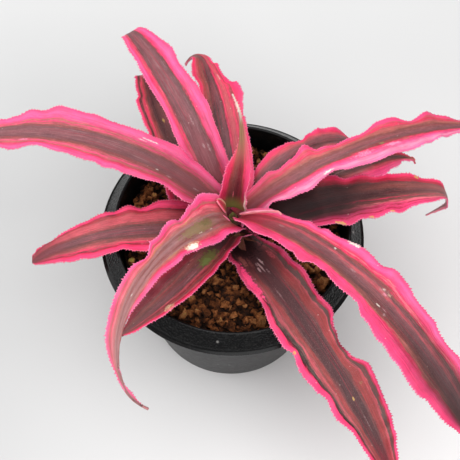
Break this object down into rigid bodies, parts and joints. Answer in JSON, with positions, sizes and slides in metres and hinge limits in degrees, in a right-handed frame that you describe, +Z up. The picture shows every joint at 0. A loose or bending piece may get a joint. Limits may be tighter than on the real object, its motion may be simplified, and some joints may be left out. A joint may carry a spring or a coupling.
{
  "type": "potted cryptanthus",
  "caption": "Rosette of long arching strap leaves with toothed margins, growing on a short rooted stem in a small tapered plastic pot of clay granules.",
  "frame": {"origin": "middle of the pot's base, on the surface that it stands on", "axes": "+Z up along the pot's axis; +X to the plant's right and -Y towards the viewer; the longest leaf reaches towards +X and -Y"},
  "size_m": [0.2202, 0.1778, 0.1224],
  "materials": {
    "black_plastic": "moulded, fine pebbled grain on the collar",
    "clay_granules": "matt, crumbly",
    "stem_tissue": "matt",
    "leaf_tissue": "satin, slightly scurfy"
  },
  "bodies": {
    "root": {"pot": "black_plastic", "soil": "clay_granules", "stem_and_roots": "stem_tissue", "leaf_back_left_low": "leaf_tissue", "leaf_front": "leaf_tissue", "leaf_right": "leaf_tissue", "leaf_left": "leaf_tissue", "leaf_right_back_low": "leaf_tissue", "leaf_front_left": "leaf_tissue", "leaf_back_right": "leaf_tissue", "leaf_back": "leaf_tissue", "leaf_back_left_tall": "leaf_tissue", "leaf_right_long": "leaf_tissue", "leaf_left_long": "leaf_tissue", "leaf_front_right_long": "leaf_tissue", "leaf_front_left_arched": "leaf_tissue", "leaf_heart_upright": "leaf_tissue", "leaf_heart_right": "leaf_tissue", "leaf_heart_left": "leaf_tissue"}
  },
  "joints": []
}
